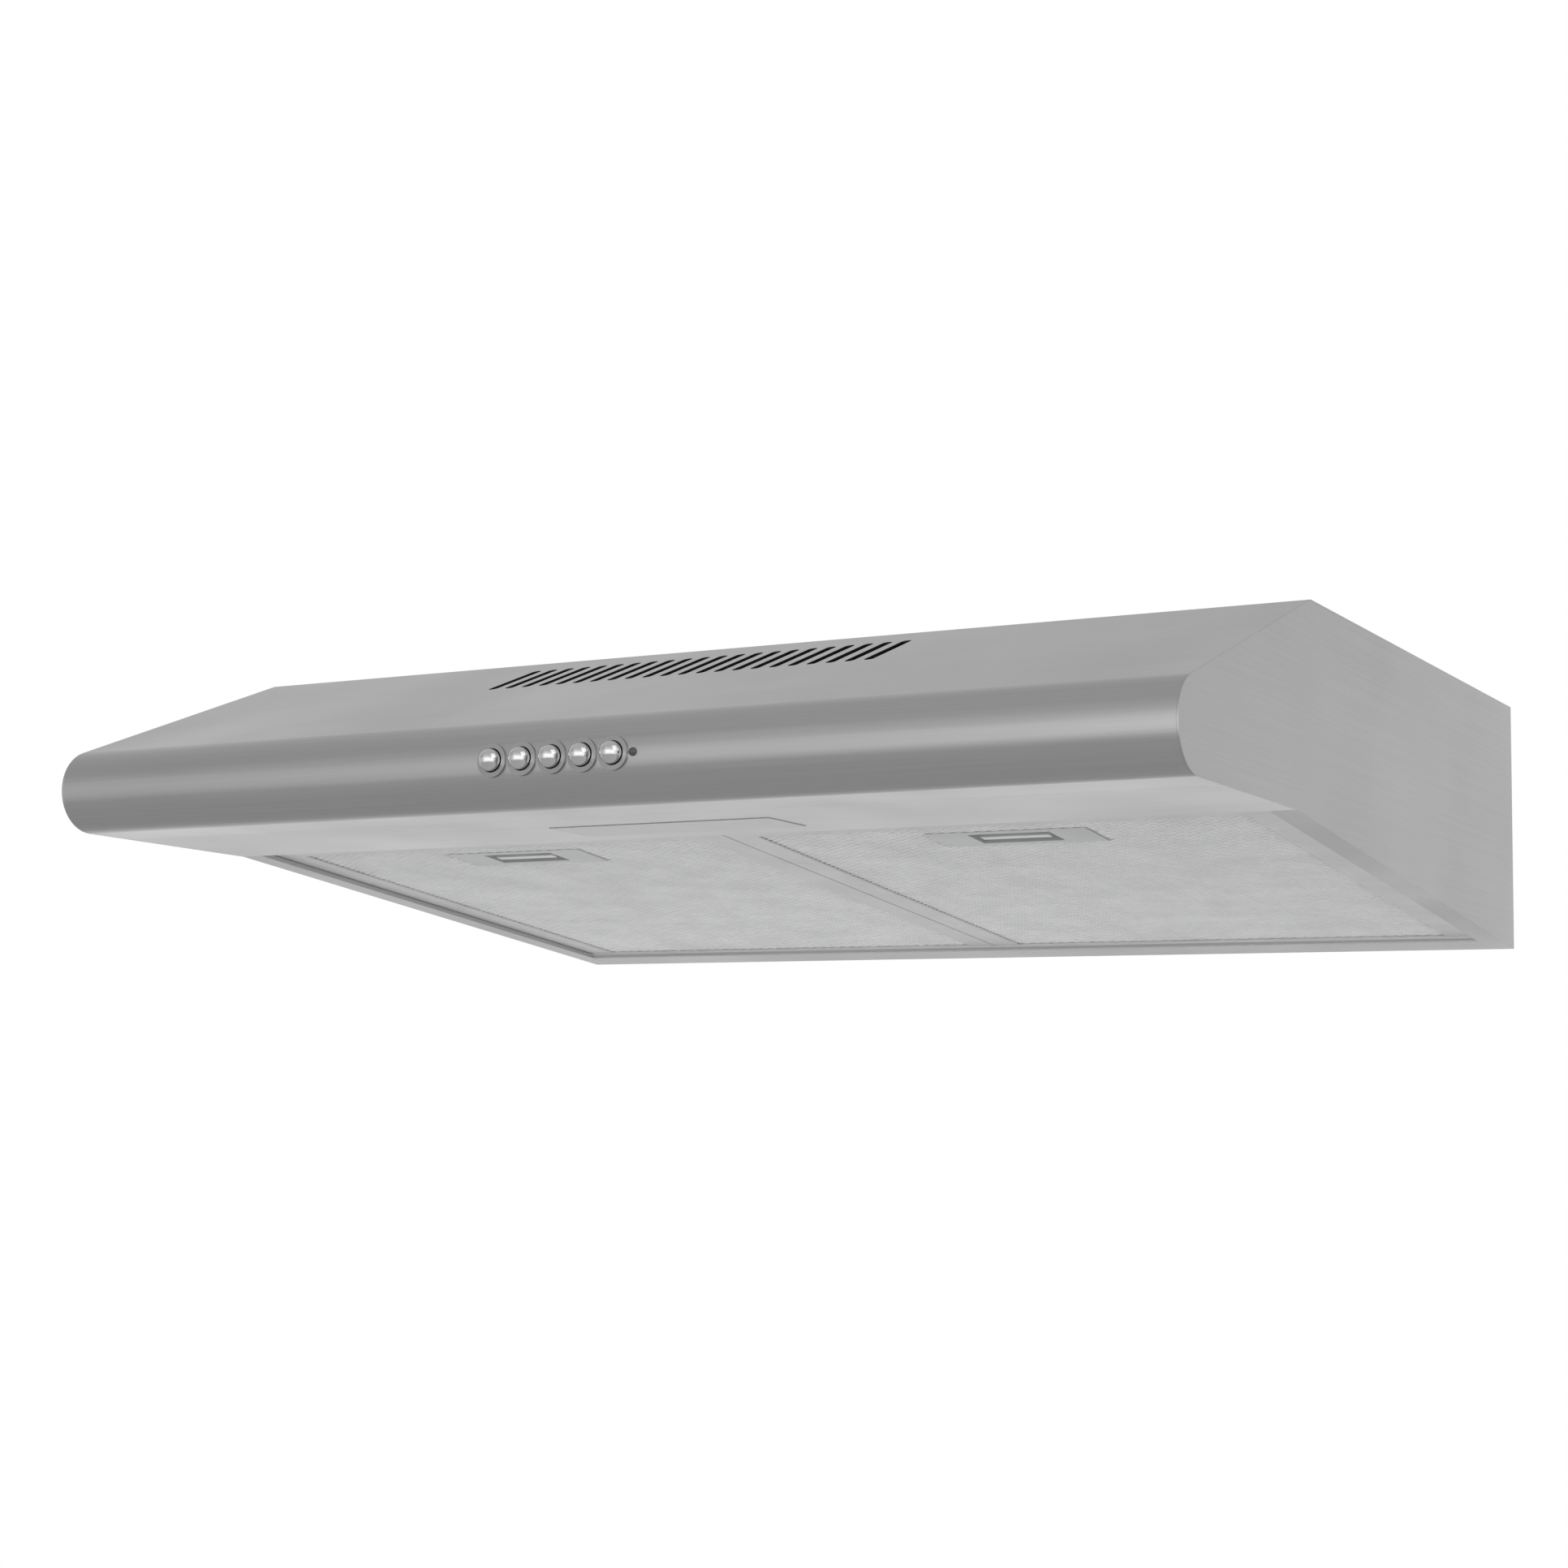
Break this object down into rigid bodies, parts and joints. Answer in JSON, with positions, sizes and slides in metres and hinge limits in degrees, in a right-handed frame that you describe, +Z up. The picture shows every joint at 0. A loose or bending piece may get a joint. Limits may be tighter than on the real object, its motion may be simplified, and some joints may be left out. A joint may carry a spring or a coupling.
{
  "type": "under cabinet range hood",
  "caption": "Slim under-cabinet range hood with a sloped front, rounded nose, front vents, push buttons, lamp strip and swing-down grease filters.",
  "frame": {"origin": "on the flat top face, at the centre of the four slotted cabinet screw holes", "axes": "+Z up, +X to the right along the hood's width seen from the front, -Y towards the cook at the front, +Y towards the wall"},
  "size_m": [0.6, 0.4922, 0.161],
  "materials": {
    "brushed_shell": "brushed",
    "brushed_underside": "brushed",
    "galvanised_sheet": "satin",
    "bezel_steel": "satin",
    "chrome_trim": "polished",
    "spring_steel": "satin",
    "black_plastic": "matte",
    "grey_plastic": "matte",
    "wheel_plastic": "matte",
    "lever_plastic": "satin",
    "latch_plastic": "satin",
    "slider_plastic": "satin",
    "cream_plastic": "gloss",
    "indicator_plastic": "gloss",
    "frosted_lens": "frosted",
    "white_enamel": "gloss",
    "bulb_glass": "clear",
    "bright_metal": "satin",
    "filter_aluminium": "satin",
    "mesh_aluminium": "satin",
    "motor_core": "satin",
    "bearing_brass": "satin",
    "rubber": "matte",
    "cable_jacket": "matte"
  },
  "bodies": {
    "hood": {"front_fascia": "brushed_shell", "lamp_panel": "brushed_underside", "side_panel_left": "brushed_shell", "side_panel_right": "brushed_shell", "top_panel": "galvanised_sheet", "back_panel": "galvanised_sheet", "rear_rail": "brushed_underside", "rear_duct_cover": "galvanised_sheet", "button_bezels": "bezel_steel", "button_spring_off": "spring_steel", "button_spring_low": "spring_steel", "button_spring_medium": "spring_steel", "button_spring_high": "spring_steel", "button_spring_lamp": "spring_steel", "switch_body": "black_plastic", "switch_bracket": "galvanised_sheet", "indicator_lens": "indicator_plastic", "lamp_reflector": "white_enamel", "lamp_holder": "cream_plastic", "lamp_bulb": "bulb_glass", "lamp_cap": "bright_metal", "blower_housing": "grey_plastic", "inlet_ring": "grey_plastic", "motor_can": "galvanised_sheet", "motor_stator": "motor_core", "motor_bracket": "galvanised_sheet", "motor_grommets": "rubber", "motor_bearings": "bearing_brass", "capacitor": "cream_plastic", "outlet_plenum": "grey_plastic", "duct_collar": "grey_plastic", "damper_pins": "bright_metal", "junction_box": "black_plastic", "junction_box_cover": "black_plastic", "terminal_block": "cream_plastic", "cable_bushing": "rubber", "wiring_loom": "cable_jacket", "fixing_screws": "bright_metal"},
    "button_off_body": {"button_off": "chrome_trim"},
    "button_low_body": {"button_low": "chrome_trim"},
    "button_medium_body": {"button_medium": "chrome_trim"},
    "button_high_body": {"button_high": "chrome_trim"},
    "button_lamp_body": {"button_lamp": "chrome_trim"},
    "lens": {"light_lens": "frosted_lens"},
    "filter_left": {"filter_frame_left": "filter_aluminium", "filter_mesh_left": "mesh_aluminium", "latch_plate_left": "latch_plastic", "latch_spring_left": "spring_steel"},
    "filter_right": {"filter_frame_right": "filter_aluminium", "filter_mesh_right": "mesh_aluminium", "latch_plate_right": "latch_plastic", "latch_spring_right": "spring_steel"},
    "latch_left": {"latch_slider_left": "slider_plastic"},
    "latch_right": {"latch_slider_right": "slider_plastic"},
    "rotor": {"impeller": "wheel_plastic", "motor_rotor": "motor_core"},
    "damper_front": {"damper_flap_front": "wheel_plastic"},
    "damper_rear": {"damper_flap_rear": "wheel_plastic"},
    "diverter": {"diverter_flap": "wheel_plastic", "diverter_lever": "lever_plastic"}
  },
  "joints": [
    {"name": "press_off", "type": "slide", "parent": "hood", "child": "button_off_body", "axis": [0, 1, 0], "range_m": [0, 0.004], "stiffness_N_per_m": 250, "springref_m": -0.002, "deforming": ["button_spring_off"]},
    {"name": "press_low", "type": "slide", "parent": "hood", "child": "button_low_body", "axis": [0, 1, 0], "range_m": [0, 0.004], "stiffness_N_per_m": 250, "springref_m": -0.002, "deforming": ["button_spring_low"]},
    {"name": "press_medium", "type": "slide", "parent": "hood", "child": "button_medium_body", "axis": [0, 1, 0], "range_m": [0, 0.004], "stiffness_N_per_m": 250, "springref_m": -0.002, "deforming": ["button_spring_medium"]},
    {"name": "press_high", "type": "slide", "parent": "hood", "child": "button_high_body", "axis": [0, 1, 0], "range_m": [0, 0.004], "stiffness_N_per_m": 250, "springref_m": -0.002, "deforming": ["button_spring_high"]},
    {"name": "press_lamp", "type": "slide", "parent": "hood", "child": "button_lamp_body", "axis": [0, 1, 0], "range_m": [0, 0.004], "stiffness_N_per_m": 250, "springref_m": -0.002, "deforming": ["button_spring_lamp"]},
    {"name": "filter_left_swing", "type": "hinge", "parent": "hood", "child": "filter_left", "pos_m": [0, 0.14039, -0.12804], "axis": [1, 0, 0], "range_deg": [0, 75]},
    {"name": "latch_left_slide", "type": "slide", "parent": "filter_left", "child": "latch_left", "axis": [0, 0.9947, -0.1032], "range_m": [0, 0.004], "stiffness_N_per_m": 200, "springref_m": -0.002, "deforming": ["latch_spring_left"]},
    {"name": "filter_right_swing", "type": "hinge", "parent": "hood", "child": "filter_right", "pos_m": [0, 0.14039, -0.12804], "axis": [1, 0, 0], "range_deg": [0, 75]},
    {"name": "latch_right_slide", "type": "slide", "parent": "filter_right", "child": "latch_right", "axis": [0, 0.9947, -0.1032], "range_m": [0, 0.004], "stiffness_N_per_m": 200, "springref_m": -0.002, "deforming": ["latch_spring_right"]},
    {"name": "wheel_spin", "type": "hinge", "parent": "hood", "child": "rotor", "pos_m": [-0.15, -0.0165, 0], "axis": [0, 0, 1], "continuous": true},
    {"name": "damper_front_swing", "type": "hinge", "parent": "hood", "child": "damper_front", "pos_m": [0, 0.0615, 0.0066], "axis": [-1, 0, 0], "range_deg": [0, 75]},
    {"name": "damper_rear_swing", "type": "hinge", "parent": "hood", "child": "damper_rear", "pos_m": [0, 0.0675, 0.0066], "axis": [1, 0, 0], "range_deg": [0, 75]},
    {"name": "diverter_swing", "type": "hinge", "parent": "hood", "child": "diverter", "pos_m": [0, -0.0027, -0.0085], "axis": [-1, 0, 0], "range_deg": [0, 80]},
    {"name": "lens_pull", "type": "slide", "parent": "hood", "child": "lens", "axis": [0, 0, -1], "range_m": [0, 0.02]}
  ]
}
